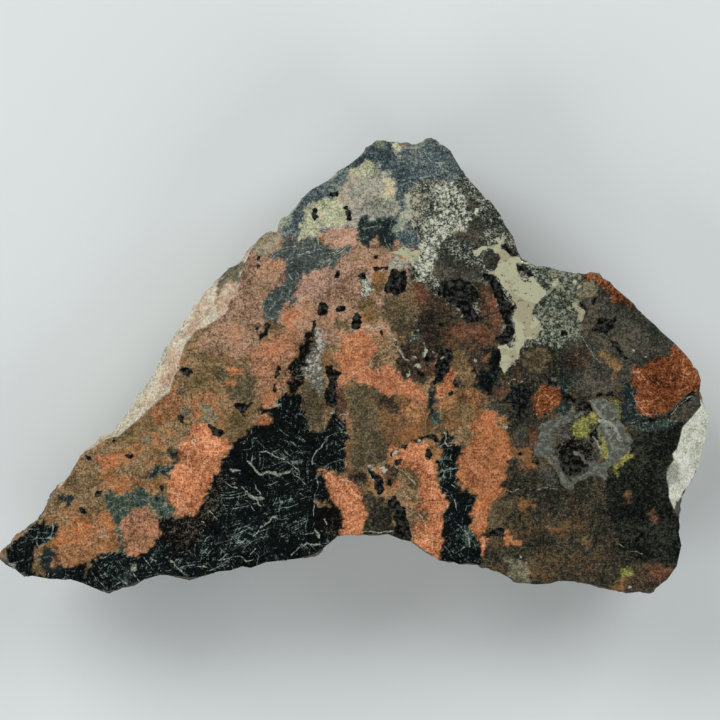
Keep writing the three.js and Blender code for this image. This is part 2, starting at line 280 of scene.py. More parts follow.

# The patches in the order that they overlie each other: a mineral, then its outlines. Each outline
# goes round in picture pixels and ends at a semicolon.
# The blue-grey patches at the apex carry a painted reflection of the sky in their colour.
layers = """
blueGrey 270,240 300,200 350,160 375,132 450,132 470,178 520,250 470,260 330,236 284,250
mottled 440,330 500,250 590,265 700,350 720,500 670,610 480,600 478,470 508,440 500,400 440,380
oliveTan 110,418 136,400 150,412 150,440 128,446 112,436; 186,378 206,362 222,372 214,396 192,398
orangeTan 150,392 176,384 186,400 178,420 152,424; 188,398 214,392 222,410 206,422 190,418
pinkTan 232,300 246,262 258,262 268,268 284,262 285,272 262,300 262,312 268,325 258,334 258,346 245,352 236,361
205,352 195,340 205,328 226,315; 245,262 262,236 300,236 330,248 400,240 415,262 412,330 340,345 290,330
262,312
amphibole 277,400 284,392 290,395 297,393 303,400 300,408 319,425 324,436 337,400 337,415 345,420 348,468
341,473 330,470 322,473 342,519 345,540 317,558 299,564 199,583 140,588 108,596 38,584 34,574 86,562 110,552
125,549 132,556 143,555 154,544 160,530 157,520 194,513 204,500 214,474 231,450 232,440 245,434 252,426 270,427
274,420 272,414 262,412 258,405 268,408; 6,548 41,518 45,516 45,525 58,522 60,527 54,538 37,550 33,560 32,571
38,576 38,582 10,576 2,562; 438,470 436,462 443,458 437,446 445,430 447,438 461,450 460,484 476,500 470,512
470,528 480,540 484,568 440,568 446,505; 268,324 270,330 266,338 258,344 258,334
brownBlack 160,518 190,518 200,512 214,480 222,470 228,478 216,520 205,530 198,545 175,552 165,547 158,530;
322,505 338,514 342,522 342,535 330,540 322,530 318,518; 303,340 309,338 310,345 305,360 308,376 306,384
292,395 286,386 291,375 286,373 285,368 294,360; 305,334 312,334 312,345 306,345
paleGreen 0,562 5,561 26,577 8,573; 130,566 135,566 135,573 130,573
tan 45,527 44,522 53,508 58,505 74,507 76,488 80,484 92,490 100,500 100,508 96,512 84,516 76,512 66,520; 33,568
32,563 51,546 52,551 46,561 38,570; 36,572 41,570 44,573 40,577; 86,566 91,565 92,570 87,572
greyGreen 360,247 330,248 308,241 303,246 284,240 268,258 274,262 283,259 285,265 285,280 266,295 262,310
268,322 278,321 282,305 296,303 304,280 310,275 332,267
darkGreen 55,503 60,497 72,494 74,498 73,504; 44,550 62,552 62,572 50,574 40,566; 148,476 154,465 171,468
176,458 171,455 172,450 178,451 179,462 169,478 160,474 151,478; 360,218 384,218 396,214 404,206 408,216
392,250 370,244 362,246 352,226; 122,566 130,572 135,588 122,590
orangeTan 98,478 110,471 138,478 143,474 148,484 146,489 131,487 121,492 100,486; 60,530 78,517 104,510 115,526
117,543 114,548 73,567 67,564 53,568 50,566 52,562 60,562 62,558 52,543
redBrown 56,555 59,552 62,555 61,559 57,561 55,559
greenGrey 104,492 123,492 136,488 147,491 150,497 161,497 176,513 172,517 160,519 147,506 134,507 121,520
120,550 117,550 116,530 106,511
greyOlive 180,392 187,392 187,397 180,397; 183,408 193,408 193,416 183,416; 198,404 213,404 217,424 200,424;
143,433 150,433 150,446 143,446
pinkOrange 245,352 262,346 275,332 293,331 300,336 291,363 287,364 281,355 279,358 286,369 283,372 277,365
272,372 254,366; 254,366 270,368 277,380 274,392 277,398 268,408 262,407 259,402; 283,305 300,308 300,318
294,322 291,330 285,328 282,320; 278,377 282,374 289,381 280,394 277,389
orange 195,423 206,421 210,435 223,439 231,447 216,469 201,505 193,513 182,515 170,503 168,483 173,470 181,461
179,449 188,440 190,429; 322,473 334,472 353,480 360,491 366,502 364,530 360,538 344,538 342,519; 352,254
360,254 360,262 352,262
tan 316,497 331,504 328,507 322,507 318,503; 317,473 321,473 321,478 317,478; 352,256 379,237 376,250 366,262
358,262
salmon 318,234 337,226 349,225 358,230 362,240 357,247 338,246 325,244; 304,276 318,268 338,266 344,276 330,290
312,296 300,306 296,296; 345,262 358,252 364,260 354,272 344,274
pinkTan 100,528 106,528 106,537 100,537; 351,258 376,238 379,240 378,247 386,254 380,262 362,272 350,272
oliveTan 224,408 230,406 250,420 248,431 236,434 218,426 216,421; 361,303 371,300 376,304 380,322 374,326
366,325 361,320; 373,274 388,272 380,296 376,296 373,290
olive 300,392 305,385 311,384 326,410 322,432 307,428; 222,372 227,364 235,362 243,365 254,378 255,398 250,403
230,399 219,385 218,378; 384,296 400,294 411,283 415,290 417,310 414,328 408,334 396,336 384,322 379,306;
333,318 350,318 350,330 333,330
pinkOrange 121,520 137,507 144,508 157,523 160,530 154,543 138,557 121,544
deepOrange 92,461 96,456 110,453 117,453 121,457 117,466 110,468; 256,420 266,413 273,420 272,425 265,427
258,427
orangeTan 228,368 245,368 245,376 228,376; 224,380 236,380 236,386 224,386
blueGrey 283,236 297,226 306,208 337,192 361,160 358,154 306,190 280,226 277,232; 345,182 367,144 377,138
445,143 458,158 464,176 446,180 428,200 414,230 395,245 396,214 404,205 402,192 396,184 390,178 380,176
paleGreen 281,229 288,217 292,214 291,219 283,230; 376,138 386,138 386,146 376,146; 370,165 380,173 392,168
392,173 378,178 372,175
mauve 300,240 303,210 338,193 360,163 368,160 378,166 392,182 400,206 396,216 372,215 362,218 358,228 322,228
308,242; 392,256 399,256 408,262 408,270 388,268
epidote 300,240 301,215 306,208 314,205 318,235 310,242; 316,205 325,197 338,196 346,205 350,222 340,227
322,226; 352,172 362,160 372,162 377,173 366,179 355,178; 382,178 390,181 394,194 389,201 382,193; 391,147
393,142 399,146 400,156; 308,229 316,225 322,232 314,238
greyGreen 284,236 310,238 330,246 320,254 300,258 286,256
paleTan 252,246 265,233 272,232 283,237 275,249 264,257 258,258
speckledGrey 413,183 430,178 446,180 468,174 488,198 504,210 528,260 577,270 585,300 580,320 570,335 555,345
540,342 520,350 510,372 495,345 470,330 440,335 420,345 400,340 410,333 417,320 416,300 408,275 410,262 420,250
413,235
darkGrey 455,200 472,200 484,214 484,232 470,246 458,240 450,222; 430,258 446,252 482,270 484,284 440,282
432,272; 486,252 498,250 504,262 498,272 486,268
brown 416,300 440,296 462,318 474,324 482,318 470,282 484,284 496,300 506,330 496,345 470,350 440,345 424,338
418,322
silverGrey 304,362 315,337 320,333 326,345 321,358 324,372 322,394 318,399 307,378; 400,372 406,352 418,342
430,346 436,356 428,372 414,376
speckledPale 433,190 446,180 455,179 460,181 458,190 470,200 462,205 470,210 488,206 462,232 450,232 444,238
430,275 420,280 414,268 418,245 416,238 420,228 436,215; 357,279 361,280 362,276 368,275 373,290 371,294
367,293 370,297 366,298 361,293 362,288
paleGreen 412,187 414,215 408,226 400,232 391,229 403,214 406,204 403,195
speckledGreen 533,275 545,262 577,272 583,285 585,300 580,320 583,335 556,352 544,345 533,308 546,294
darkGrey 585,300 597,284 614,290 634,300 678,341 655,362 630,372 622,384 610,392 590,395 570,385 560,365 562,345
583,335; 474,222 482,222 484,246 474,246
brown 475,335 500,335 505,345 500,360 490,372 476,372 468,360 462,345; 400,345 440,330 480,335 470,350 450,352
440,348 425,386 405,380 398,366; 494,392 503,387 509,396 498,398; 510,364 516,364 524,374 520,378 510,372
brown 564,350 580,346 592,356 586,370 570,372 562,362
oliveTan 602,348 621,360 622,364 614,378 611,378 612,370 600,362; 484,286 488,285 492,289 496,306 481,294;
449,365 453,360 453,352 460,350 466,354 478,384 470,388 452,372
olive 526,352 540,346 552,356 548,372 532,374 522,364
greyOlive 580,283 592,282 597,285 597,291 594,295 578,297 577,293 584,287
redBrown 583,272 590,271 603,276 635,304 628,307 617,302 601,284 584,278
rustBrown 337,385 346,385 346,414 337,414; 446,334 456,324 468,320 500,338 486,344; 492,312 502,316 506,330
500,340 493,332; 482,284 492,286 500,304 496,312 480,294; 412,284 426,280 432,296 424,308 414,302; 420,362
436,362 434,378 420,376
dullOrange 341,338 356,331 366,335 378,348 370,361 372,368 376,372 386,362 400,374 401,380 411,380 425,395
427,404 408,394 388,398 352,378 335,388 342,366 334,356 344,350
orange 443,376 445,370 453,372 456,376 455,388 436,398 434,386 443,381; 347,427 353,425 358,433 348,436;
482,535 487,534 488,540 484,561 481,548
brownTan 381,412 400,398 414,400 427,406 436,432 392,452 381,428; 435,398 470,384 484,400 483,414 466,428
450,430 444,428; 350,420 352,440 350,468 358,470 352,474 346,470 347,422; 386,440 404,486 398,494 386,476
oliveTan 455,400 468,398 474,410 470,424 458,420 452,408
orangeTan 405,400 418,404 428,414 424,426 410,420 402,410; 386,440 392,446 404,482 398,490 390,476; 440,396
452,392 456,404 446,414 438,408; 468,390 478,392 480,406 472,412 466,402
olive 348,385 358,383 380,391 384,396 379,416 388,447 384,462 378,466 350,470; 487,516 495,503 505,500 512,502
515,510 506,525 488,528 485,522
brown 380,398 386,396 397,402 397,412 392,414 381,410
mottled 508,455 535,460 552,470 560,488 575,492 600,484 620,470 632,455 640,430 690,418 684,600 515,592 480,568
488,540 505,540 506,528 515,510 500,480; 362,498 372,492 386,503 393,520 394,540 364,540 366,510
deepOrange 484,412 490,413 498,426 508,434 510,454 507,477 500,482 499,488 505,493 490,508 482,530 477,534
471,532 471,512 476,500 474,494 460,482 460,460 461,452 476,436 470,426
orange 412,443 425,443 428,448 425,455 435,468 445,503 440,564 415,540 412,532 414,526 418,520 424,522 426,515
420,508 415,510 410,507 398,495 404,480 388,455 394,448 402,450
brownTan 508,436 514,446 530,450 535,463 530,474 509,456
tan 396,470 410,468 418,478 422,504 412,506 402,500 398,490 402,480; 408,512 418,520 410,540 406,530
rustBrown 496,388 508,390 508,400 496,399; 520,428 534,430 540,442 528,446 518,438
brown 512,450 524,448 534,440 536,428 524,424 512,428; 384,466 394,466 398,476 394,486 386,482
mottled 350,472 366,470 370,484 365,488 350,476
darkGreen 624,382 632,384 636,392 636,412 640,424 632,424 622,412; 430,385 433,388 434,401 431,406 433,410
438,412 442,424 438,424 430,412 428,404; 558,358 570,385 570,420 560,416 562,395
blueBlack 468,362 476,372 497,372 500,376 498,384 490,392 492,398 488,398; 484,348 500,348 502,372 488,372
492,360; 510,384 530,384 526,418 520,420 512,410 508,400; 575,428 598,428 598,440 588,450 576,448 570,440
darkOlive 632,424 672,428 692,412 690,430 672,456 668,470 669,490 681,522 684,545 678,566 655,566 622,548
604,510 604,482 630,456
blueBlack 674,512 684,524 684,548 678,560 672,548
darkGreen 624,382 634,386 640,414 652,420 670,420 682,412 684,418 672,430 650,430 630,424 622,412
darkGrey 486,400 500,402 510,410 508,414 496,414 486,406; 510,425 525,425 530,432 522,444 512,442; 540,458
550,464 558,475 558,488 540,480 535,468; 675,398 700,396 702,408 690,420 672,420 668,416 676,408
orangeTan 490,410 507,418 508,422 498,422 488,414; 506,530 511,530 511,538 521,542 518,546 510,546 505,543;
484,353 490,354 489,360 484,359
brown 530,528 545,530 544,540 532,538; 540,500 550,502 550,520 544,520; 567,495 575,496 574,510 567,508;
575,510 590,511 588,522 576,521; 600,535 612,537 610,546 600,544; 604,552 614,552 612,562 605,562; 580,556
592,560 590,580 581,578; 590,566 599,568 598,576 590,574; 634,570 645,565 665,567 672,570 672,580 652,594
640,595 622,588 634,577
brownTan 624,491 629,490 630,495 629,500 626,502; 548,528 556,528 560,531 556,535 550,534; 518,500 532,499
534,508 522,508
redBrown 632,372 641,366 668,358 672,353 668,350 672,346 684,350 696,362 704,377 704,386 684,397 671,412 645,416
638,406; 546,384 556,389 563,398 560,408 540,417 532,408 531,397
rustBrown 648,510 656,510 660,516 656,522 650,518; 650,570 668,570 662,580 652,584; 524,432 532,432 532,438
524,438
darkGrey 552,424 566,414 592,408 600,422 606,452 598,464 586,474 568,478 548,456
brownBlack 558,446 572,440 584,440 592,448 594,458 586,468 572,474 556,456; 570,408 590,406 592,416 578,420
yellowGreen 571,425 580,421 588,422 592,430 582,441 575,438; 580,420 594,410 599,416 598,424 592,426 588,419;
609,404 611,399 618,400 620,406 616,410 611,409; 597,428 603,434 611,452 609,460 603,455; 615,462 629,450
632,455 626,460 618,476 614,470; 616,407 622,408 622,424 617,424
yellowGreen 620,568 632,566 630,576 622,577
greyOlive 505,560 530,562 528,586 516,586
oliveTan 616,580 622,580 624,590 614,588; 580,535 590,536 590,548 580,546
greenGrey 434,410 440,412 441,424 434,424; 464,528 472,530 472,546 465,545; 655,418 668,418 668,428 655,428
"""

# Grains with edges sharp enough to see.
sharpGrains = {
    "black": """
79,507 84,508 87,511 85,515 81,513; 95,490 102,490 102,496 96,496; 85,455 90,455 90,459 85,459; 126,454
134,454 134,458 127,458; 113,438 117,438 117,441 113,441; 160,486 164,487 164,493 161,494; 155,497 160,498
160,500 155,500; 180,367 191,368 192,372 190,376 186,376 182,372; 177,418 179,414 183,415 184,419 182,424
178,423; 233,404 238,401 246,404 254,402 244,412 247,417 243,416; 208,424 213,425 216,429 221,430 224,435
219,437 212,434; 256,256 259,257 258,260 255,259; 258,265 261,266 260,269 257,268; 256,326 259,326 259,330
256,330; 277,365 281,368 276,379 274,376; 274,385 277,384 277,392 274,393; 325,368 331,365 340,373 335,392
338,398 337,405 333,408 326,404 324,396 325,388 329,383; 320,302 326,303 329,308 327,319 318,315 316,311
319,307; 335,305 345,306 345,312 336,312; 336,270 339,270 339,277 336,277; 312,322 316,321 315,328 317,334
313,338 311,332; 352,314 357,312 362,315 362,326 358,330 353,329 351,322; 314,210 317,209 319,218 317,220
313,219 312,215; 346,224 349,224 349,228 346,228; 344,202 348,207 352,219 346,219; 330,192 338,192 338,197
330,197; 404,143 410,144 410,148 405,147; 416,142 421,142 421,145 417,145; 373,266 383,268 387,266 389,268
385,271 374,273; 372,256 377,256 377,259 372,259; 391,269 403,272 407,271 409,276 404,290 396,295 386,292
383,289 388,280; 357,277 361,274 365,274 365,278 360,279; 378,330 382,331 382,337 379,337; 391,339 395,342
397,346 393,344; 400,343 403,345 402,348 400,347; 441,284 446,281 463,279 470,282 480,295 478,301 472,305
478,317 481,318 480,322 467,322 462,318 463,314 459,309 437,293; 435,322 450,325 449,328 440,327; 483,270
488,276 494,276 498,279 507,298 514,308 511,320 515,333 513,341 503,347 494,338 500,336 504,331 505,325 490,284
483,277; 501,246 505,244 510,246 512,249 511,253 508,254 505,250 501,249; 511,254 515,250 519,255 516,257
512,256; 514,264 518,262 523,264 536,277 533,278 524,270 519,270; 561,332 566,331 568,334 566,337 561,337;
592,299 595,297 598,299 597,302 593,304 590,302; 578,302 584,301 588,314 586,320 585,312; 600,318 606,317
612,319 618,315 616,320 612,323 614,327 606,335 602,332 598,334 592,328; 609,341 615,341 619,344 628,357
627,360 611,347; 546,380 555,374 559,381 556,388 551,387; 437,348 442,346 447,348 453,352 453,357 449,365
450,369 446,372 441,381 431,386 440,353; 424,352 428,356 430,362 427,366 424,360; 418,370 424,372 424,378
418,376; 411,441 430,434 435,434 440,441 437,443 433,440 428,439 416,442; 455,379 459,382 461,388 456,388
454,384; 450,392 453,392 453,397 450,397; 470,351 475,354 473,356 470,355; 508,398 513,396 524,399 519,402;
520,385 526,386 529,390 526,396 522,398; 516,405 521,408 528,418 527,422 517,416 513,410 512,404; 517,452
520,450 523,452 520,455; 368,469 371,468 382,478 386,490 384,492 380,494 376,493 373,478; 387,481 390,480
393,482 391,485 388,484; 388,498 394,497 400,504 405,507 411,536 409,544 403,544 393,538 396,522 394,514
387,503; 426,448 430,450 432,455 429,460 425,457; 435,460 440,461 440,466 436,465; 393,461 402,460 402,465
396,466; 389,453 394,452 394,457 390,457; 400,446 406,445 407,449 401,450; 480,536 494,529 506,528 506,534
503,538; 533,458 540,462 537,466 533,463; 562,388 566,392 578,398 586,400 592,410 588,412 584,407 578,406
566,400 562,396; 596,392 604,394 612,393 614,397 596,397; 590,431 596,428 598,432 597,438 592,444; 560,452
570,452 578,458 580,466 575,474 568,476 561,470 559,462; 632,528 640,526 645,532 644,542 636,546 632,538;
640,417 655,418 668,415 692,391 694,394 670,418 656,421 642,421
""",
    "sulphide": """
495,239 499,237 501,240 505,231 503,244 499,246 501,249 506,251 507,254 511,256 520,258 522,262 527,262 528,265
515,263 521,281 531,281 528,277 532,276 539,283 539,288 543,289 546,292 546,295 541,298 533,309 532,313 534,317
540,321 541,328 544,330 540,332 538,337 524,341 520,350 520,360 516,360 511,363 509,368 505,372 502,371 500,366
501,354 496,347 497,345 507,346 511,349 514,349 516,340 516,328 513,317 516,308 511,295 508,293 497,276 489,276
488,273 496,271 500,258 494,247 490,247 482,251 478,258 474,255 472,251 481,245 486,247 496,246 499,244;
551,284 555,282 556,278 558,279 558,284 555,288 552,287; 393,252 403,246 406,249 410,250 412,253 420,251
420,256 411,264 408,259; 572,303 575,302 580,309 585,312 583,321 581,320 573,307; 573,279 577,280 576,283
572,283; 578,285 581,284 581,287 577,288
""",
    "greySulphide": """
571,404 575,408 570,423 565,425 560,424 552,433 552,454 556,459 559,471 574,484 576,488 573,491 562,486 555,468
546,459 537,455 535,449 541,429 537,427 541,423 546,423 558,416 562,417 570,412; 590,402 602,399 612,402
617,406 618,418 608,420 598,418 595,415; 600,422 616,419 620,420 626,428 626,433 631,435 632,442 631,449
621,458 619,463 610,468 604,480 600,478 601,470 608,458 609,452 599,428; 571,478 577,475 582,476 588,471
590,463 596,460 602,462 604,468 600,474 574,482; 556,436 566,436 574,438 570,440 560,439; 571,450 577,449
590,463 586,464; 572,416 578,411 585,411 586,415 580,414 577,418; 552,376 555,377 557,381 554,381 551,379
""",
    "chalk": """
598,420 607,419 613,422 622,438 619,443 611,428 605,423 598,424; 330,409 334,409 334,414 330,414; 315,328
323,328 323,336 316,336; 316,338 325,340 324,350 317,350; 384,263 391,260 391,263 388,265 385,266; 474,358
478,358 478,362 474,362; 556,320 560,320 560,324 556,324; 500,426 508,424 508,429 505,430; 519,552 521,553
523,556 521,557 519,555; 392,455 400,450 401,453 398,457 393,458; 417,438 422,438 422,441 417,441; 422,346
424,344 428,352 424,359 421,358 423,350; 412,357 416,356 419,358 415,361 411,360; 411,364 414,366 418,364
422,367 420,370 416,368 412,368; 407,372 410,371 411,375 408,377; 433,348 437,354 434,355 432,351; 366,467
372,466 376,468 376,472; 378,468 384,466 388,470 386,474; 618,435 622,435 622,442 618,442; 625,491 629,491
629,495 625,495; 627,587 631,587 631,590 627,590; 632,349 636,349 636,352 632,352
""",
}

# Pale veins and scratches, a painted highlight drawn as pale lines along the worn upper-left rim, and dark cracks:
# the half width in millimetres, and the routes.
paleVeinsAndRimHighlight = {
    0.1: "569,321 601,363; 530,489 560,489; 508,492 514,491 519,488",
    0.12: """
315,495 316,503 314,518; 324,518 326,525; 250,553 257,549; 205,540 210,534; 150,557 156,561; 172,560
176,566 186,575; 208,510 218,520; 202,521 206,526; 182,466 184,471 189,476; 193,436 197,441 200,440;
191,441 196,447; 76,522 86,536; 361,177 371,169; 384,194 386,199 384,204; 436,163 444,164 448,160; 403,180
410,181 419,185 424,190; 410,183 402,188; 420,178 430,176 437,171; 374,157 379,162; 418,225 430,216;
504,296 508,301; 337,389 351,375 370,364 378,353 388,346; 453,498 457,509; 449,505 446,510; 455,488 450,484;
521,382 528,379; 614,431 608,443; 610,453 620,448; 614,428 619,420; 619,545 624,548; 692,396 686,398
670,416; 644,357 646,355 648,357 646,358
""",
    0.14: """
260,451 266,451 281,460 285,460; 288,462 300,472; 242,487 249,494; 293,473 306,485; 254,484 256,489 262,495;
263,512 267,514; 324,441 322,446 317,450 313,459 312,466; 345,458 346,467; 219,561 241,556 247,559 255,559;
196,567 203,566 208,567; 188,455 187,462 190,467; 171,492 176,494 185,505; 184,505 190,514 195,513;
340,478 352,482; 303,218 305,226 309,233 314,237; 392,150 399,159 398,163; 425,151 428,157 433,162 437,163
442,168 448,171; 376,366 379,371 379,375; 442,360 446,357; 418,514 427,526; 611,423 603,430; 630,551
644,554; 401,143 405,142 412,146 417,142 422,142
""",
    0.16: """
251,495 261,505; 226,482 231,486 237,488; 252,537 258,533 261,527 272,519; 551,332 554,341; 395,465 416,484;
421,531 434,542; 465,530 468,534 471,546; 507,385 510,381 516,380; 608,401 596,417; 611,418 616,417
""",
    0.18: "339,415 346,415; 347,425 353,427; 444,430 446,436 445,441 448,446; 370,474 374,480",
    # Of this width, the last three routes run along the worn upper-left rim of the sawn face: a painted highlight
    # on the rim.
    0.2: """
270,520 274,516 278,518; 292,555 306,544 321,544; 305,535 312,533; 132,517 138,523; 393,345 398,349 405,359
410,361; 330,178 316,186 303,196; 350,163 338,172 328,182; 296,206 288,216 281,228
""",
    0.22: "362,533 394,532; 362,328 370,327 376,328 383,326 396,342",
    0.25: "314,530 319,538; 590,402 596,408 600,416; 594,436 602,452",
    0.28: "248,461 260,474 265,475 270,472 275,473 278,476 290,472; 248,494 253,497 265,499",
    0.3: "230,468 238,472; 601,424 606,430 610,438 612,446; 598,410 606,424",
    0.35: "600,422 605,421 611,423 617,431 620,441",
}
darkCracks = {
    0.1: "284,238 270,254 263,258",
    0.12: "603,356 608,361",
    0.16: "300,303 304,307 310,305",
    0.2: "205,360 209,357",
    0.24: "228,356 243,361 248,366",
    0.25: "519,460 535,480",
}


# How the minerals are painted on the stone.
mineralPaint = {
    "seed": 4,               # of the bends in the patches, so that each run gives the same ones
    "softEdge": 0.25,        # half the millimetres over which a patch gives way to the next
    "margin": 2,             # pixels round a patch that it can still reach
    # Bends in the edge of a patch and of a sharp grain: millimetres between them, and their reach.
    "ragged": [(4, 0.7), (1.6, 0.8), (0.8, 0.9)],
    "stepped": [(2.2, 0.5), (0.9, 0.3)],
    "farthest": 3,           # distances from sharp grains are kept up to this many millimetres
    "sharpEnds": (1, 5),     # millimetres below the saw cut over which sharp grains end
    "drift": [(16, 20), (5, 5)],  # down the broken sides the pattern drifts, fully so at this depth
    "driftDepth": 9,
    "drawIn": 0.14,          # and is drawn in towards the middle by this share of the way
    "middle": (400, 420),
    "dust": "#8F887B",       # stone dust and a fine broken grain pale the sides
    "dusting": 0.28,
}

# What covers the broken sides: pale rock on the left, green at the apex, calcite on the right.
coats = """
creamRock 70,490 0,440 90,300 200,200 256,214 280,250 270,320 240,360 215,400 150,450 100,470
greyOlive 212,262 244,240 246,268 232,292 214,300 206,286
paleGreen 396,126 426,126 424,152 398,152
paleGreen 262,244 266,214 290,190 316,184 312,214 296,244 276,250
pinkCream 212,300 226,284 244,282 246,312 232,322 218,330
pinkCream 148,392 160,364 176,346 184,352 178,376 162,398 148,410
pinkCream 188,330 196,308 206,306 202,328 192,344
pinkCream 84,446 104,434 112,438 96,456
calcite 692,412 700,400 725,396 722,470 696,505 680,520 664,505 656,480 660,460 674,440 684,425
greyCalcite 660,462 682,462 682,484 660,484
"""


def routesOf(text):
    return [np.array([place.split(",") for place in route.split()]).astype(float) for route in text.split(";")]


# Each name in a text with the routes that follow it.
def namedRoutes(text):
    return [(name, route) for name, routes in re.findall("([A-Za-z]+)([^A-Za-z]+)", text)
            for route in routesOf(routes)]


def linear(hexColour):
    channels = [int(hexColour[start:start + 2], 16) / 255 for start in (1, 3, 5)]
    return [c / 12.92 if c <= 0.04045 else ((c + 0.055) / 1.055) ** 2.4 for c in channels]


def paintOf(name):
    mid, pale, deep, *shares = minerals[name]
    return np.array([*linear(mid), *linear(pale), *linear(deep), *shares])


def noiseAt(places, size):
    return np.array([noise.noise_vector(place) for place in places / (size * mm)])[:, :2]


def bent(spots, places, bends):
    for size, reach in bends:
        spots = spots + noiseAt(places, size) * reach * mm / pixel
    return spots


def near(spots, outline):
    margin = mineralPaint["margin"]
    low, high = outline.min(axis=0) - margin, outline.max(axis=0) + margin
    return np.flatnonzero(((spots > low) & (spots < high)).all(axis=1))


def depthOf(spots, outline):
    return depthInside(spots, outline) * pixel / mm


def cover(paint, spots, name, outline, among):
    soft = mineralPaint["softEdge"]
    reached = near(spots, outline)
    share = smoothStep(-soft, soft, depthOf(spots[reached], outline)) * among[reached]
    paint[reached] += share[:, None] * (paintOf(name) - paint[reached])


# The way from each place to the nearest point of a line, and how near that is.
def wayToLine(spots, line):
    best = np.full(len(spots), np.inf)
    way = np.zeros((len(spots), 2))
    for start, end in zip(line, line[1:]):
        along = end - start
        share = np.clip((spots - start) @ along / max(along @ along, 1e-9), 0, 1)
        here = start + share[:, None] * along - spots
        distance = np.hypot(*here.T)
        closer = distance < best
        best[closer] = distance[closer]
        way[closer] = here[closer]
    return way * pixel / mm, best * pixel / mm


farAway = 99


# Ways to the nearest of the lines, in half widths of it. Over half a millimetre from a line the third
# number grows fast, so that nothing shows halfway between two lines.
def waysToLines(spots, lines):
    ways = np.tile([0.0, 0.0, farAway], (len(spots), 1))
    for halfWidth, line in [(width, line) for width, text in lines.items() for line in routesOf(text)]:
        reached = near(spots, line)
        way, distance = wayToLine(spots[reached], line)
        offered = np.column_stack((way, np.maximum(0, distance - 0.5) * 4)) / halfWidth
        closer = np.linalg.norm(offered, axis=1) < np.linalg.norm(ways[reached], axis=1)
        ways[reached[closer]] = offered[closer]
    return ways


def keep(mesh, name, kind, values):
    field = mesh.attributes.new(name, kind, "POINT")
    if kind == "FLOAT_COLOR":
        values = np.column_stack((values, np.ones(len(values))))
    member = {"FLOAT": "value", "FLOAT_VECTOR": "vector", "FLOAT_COLOR": "color"}[kind]
    field.data.foreach_set(member, values.ravel())


def paintStone(stone):
    noise.seed_set(mineralPaint["seed"])
    places = vertexPlaces(stone.data)
    depth = np.maximum(sawnHeight - places[:, 2], 0)
    broken = smoothStep(0.02 * mm, 0.3 * mm, depth)
    spots = toPicture(places)
    ragged = bent(spots, places, mineralPaint["ragged"])
    drop = depth[:, None] / sawnHeight
    drift = bent(spots, places, mineralPaint["drift"]) - spots
    drift *= smoothStep(0, mineralPaint["driftDepth"] * mm, depth)[:, None]
    drawn = spots + drop * mineralPaint["drawIn"] * (np.array(mineralPaint["middle"]) - spots) + drift
    stepped = bent(drawn, places, mineralPaint["stepped"])
    drawn = drawn + ragged - spots

    paint = np.tile(paintOf("tan"), (len(places), 1))
    for name, outline in namedRoutes(layers):
        cover(paint, drawn, name, outline, np.ones(len(places)))
    colours = paint[:, :9]
    colours += (broken * mineralPaint["dusting"])[:, None] * (linear(mineralPaint["dust"]) * 3 - colours)
    for name, outline in namedRoutes(coats):
        cover(paint, ragged + drift / 2, name, outline, broken)
    for start, tone in ((0, "mid"), (3, "pale"), (6, "deep")):
        keep(stone.data, tone, "FLOAT_COLOR", paint[:, start:start + 3])
    for start, share in ((9, "felt"), (10, "specks"), (11, "stain")):
        keep(stone.data, share, "FLOAT", paint[:, start])

    first, last = mineralPaint["sharpEnds"]
    ending = mineralPaint["farthest"] * smoothStep(first * mm, last * mm, depth)
    for name, text in sharpGrains.items():
        depths = np.full(len(places), -float(mineralPaint["farthest"]))
        for outline in routesOf(text):
            reached = near(stepped, outline)
            depths[reached] = np.maximum(depths[reached], depthOf(stepped[reached], outline))
        keep(stone.data, name, "FLOAT", depths - ending)
    keep(stone.data, "paleVeinsAndRimHighlight", "FLOAT_VECTOR", waysToLines(stepped, paleVeinsAndRimHighlight))
    keep(stone.data, "darkCracks", "FLOAT_VECTOR", waysToLines(stepped, darkCracks))
    print("skarn stone: minerals painted")


# One node with its settings and inputs, each a value or another node's output. It gives back one output.
def addNode(tree, kind, inputs=None, output=0, **settings):
    node = tree.nodes.new("ShaderNode" + kind)
    for name, value in settings.items():
        setattr(node, name, value)
    for name, value in (inputs or {}).items():
        if isinstance(value, bpy.types.NodeSocket):
            tree.links.new(value, node.inputs[name])
        else:
            node.inputs[name].default_value = value
    return None if output is None else node.outputs[output]


def between(low, high):
    return {"From Min": low, "From Max": high}


# The stone's surface. Sizes are in millimetres.
skarnLook = {
    "noises": (              # size, detail and roughness of each
        (6, 6, 0.62),        # clouds inside a grain
        (1.0, 3, 0.7),       # single crystals
        (0.36, 1, 0.5),      # finest grain that shows at this size
        (0.8, 5, 0.75),      # scattered sulphide, and pits painted dark as the shade in them
        (0.7, 3, 0.5),       # steps in the edge of a sharp grain
    ),
    "mottling": (2.2, 2.2, 2.1),  # how deeply the first three mottle the colour
    "needleLength": 8,       # amphibole needles, a little coarser than real so that they show
    "needleWidth": 0.25,
    "needleTurns": (18, 76, 131),
    "needleBend": 7,
    "needleEdge": (0.53, 0.74),  # levels of its noise between which a needle, a tuft and so on grow
    "tuftEdge": (0.38, 0.6),
    "stainEdge": (0.52, 0.58),
    "speckEdge": (0.66, 0.73),
    "pitShadeAndBlackGrainsEdge": (0.34, 0.31),
    "edgeReach": 1.1,
    "edgeWidth": 0.16,       # over which a sharp grain's edge is drawn
    "grown": {"black": 0.03, "chalk": -0.1},  # how much further than its outline a grain reaches
    "metallic": 0.35,
    "colours": {
        "rust": "#FFC697",   # what rust lets through of a mineral's colour
        "oliveGrain": "#A4B09C",
        # Black grains and dark cracks, and the painted shade in pits.
        "black": "#030403",
        "blackFlecked": "#3A3B35",
        "greySulphide": "#5F6056",
        "greySulphidePaler": "#7C8074",
        "sulphide": "#B6AF90",
        "sulphideGreener": "#C6C6A5",
        "chalk": "#A6A495",
        "chalkDeeper": "#5E5D53",
        "vein": "#BEC6B2",
    },
}


